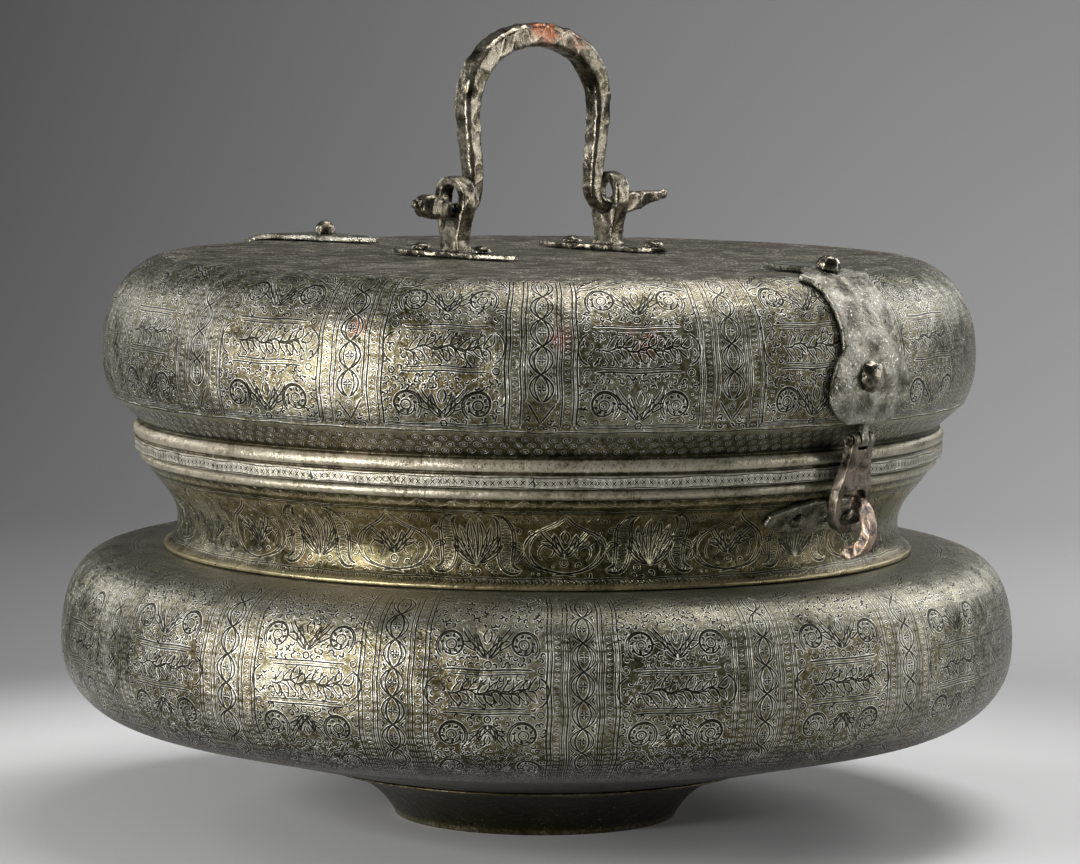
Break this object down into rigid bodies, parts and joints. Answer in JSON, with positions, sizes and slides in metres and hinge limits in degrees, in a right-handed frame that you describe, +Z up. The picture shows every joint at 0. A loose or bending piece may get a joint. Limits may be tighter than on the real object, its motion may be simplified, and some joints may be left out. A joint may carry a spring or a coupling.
{
  "type": "lidded bowl",
  "caption": "Engraved tinned-copper bowl with a hinged lid, a swinging bail handle and a hasp with a latch ring.",
  "frame": {"origin": "the middle of the foot's resting ring, on the surface the bowl stands on", "axes": "+Z up; the hasp faces -Y and the lid's hinge faces +Y, with its pin along X"},
  "size_m": [0.38, 0.38, 0.316],
  "materials": {
    "tinned_copper": "engraved copper sheet, tinned and darkened with age, bright on the raised edges",
    "worn_tin": "smooth forged strap, tinned and rubbed, with fine scratches",
    "forged_copper": "hammered bar and rivets, dull, with bright worn edges",
    "bare_copper": "bare square bar, worn smooth"
  },
  "bodies": {
    "bowl": {"belly_shell": "tinned_copper", "neck_collar": "tinned_copper", "foot_ring": "tinned_copper", "clasp_plate": "worn_tin", "clasp_plate_rivet_left": "forged_copper", "clasp_plate_rivet_right": "forged_copper", "hinge_plate": "worn_tin", "hinge_plate_rivet_left": "forged_copper", "hinge_plate_rivet_right": "forged_copper", "hinge_pin": "forged_copper"},
    "lid": {"lid_shell": "tinned_copper", "clasp_strap": "worn_tin", "hinge_strap": "worn_tin", "handle_lug_left": "forged_copper", "handle_lug_right": "forged_copper", "clasp_pin": "forged_copper", "left_lug_rivet_front": "forged_copper", "left_lug_rivet_back": "forged_copper", "right_lug_rivet_front": "forged_copper", "right_lug_rivet_back": "forged_copper", "clasp_strap_top_rivet": "forged_copper", "clasp_strap_side_rivet": "forged_copper", "hinge_strap_top_rivet": "forged_copper", "hinge_strap_side_rivet": "forged_copper"},
    "bail": {"bail_handle": "forged_copper"},
    "hasp_bar": {"hasp": "forged_copper"},
    "ring": {"latch_ring": "bare_copper"}
  },
  "joints": [
    {"name": "lid_hinge", "type": "hinge", "parent": "bowl", "child": "lid", "pos_m": [0, 0.1694, 0.147], "axis": [-1, 0, 0], "range_deg": [0, 105]},
    {"name": "bail_swing", "type": "hinge", "parent": "lid", "child": "bail", "pos_m": [0, 0.004, 0.2426], "axis": [1, 0, 0], "range_deg": [-90, 90]},
    {"name": "hasp_swing", "type": "hinge", "parent": "lid", "child": "hasp_bar", "pos_m": [0, -0.1686, 0.1624], "axis": [-1, 0, 0], "range_deg": [0, 95]},
    {"name": "ring_turn", "type": "hinge", "parent": "hasp_bar", "child": "ring", "pos_m": [0.0037, -0.16056, 0.12889], "axis": [1, 0, 0], "range_deg": [-15, 30]}
  ]
}
